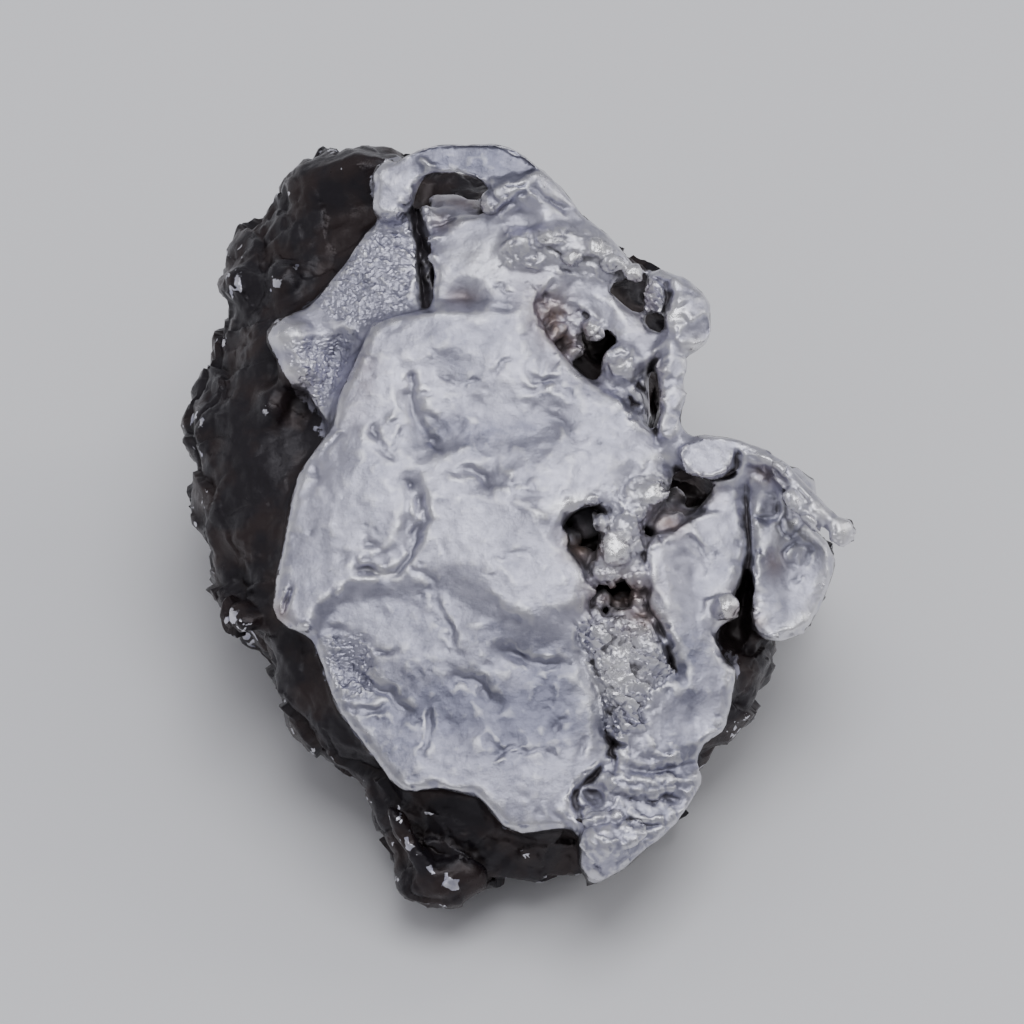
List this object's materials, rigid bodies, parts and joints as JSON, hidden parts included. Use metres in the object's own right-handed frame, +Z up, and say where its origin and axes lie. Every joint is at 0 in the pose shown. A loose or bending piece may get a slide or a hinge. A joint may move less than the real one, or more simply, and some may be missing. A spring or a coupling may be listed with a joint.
{
  "type": "iron meteorite",
  "caption": "Small iron meteorite: one lump of natural nickel-iron with folded plates, open crevices, a hooked loop and knobs, resting on a small flat spot.",
  "frame": {"origin": "bottom centre of the lump's box, on the surface that it rests on", "axes": "+Z up, +X to the right and -Y towards the viewer of the plated face, which slopes up towards +Y"},
  "size_m": [0.0378, 0.0446, 0.0272],
  "materials": {
    "nickel_iron": "natural nickel-iron, satin to bright on the plates and knobs, with a dark brown to violet-black patina in the crevices and on the flanks"
  },
  "bodies": {
    "root": {"meteorite": "nickel_iron"}
  },
  "joints": []
}
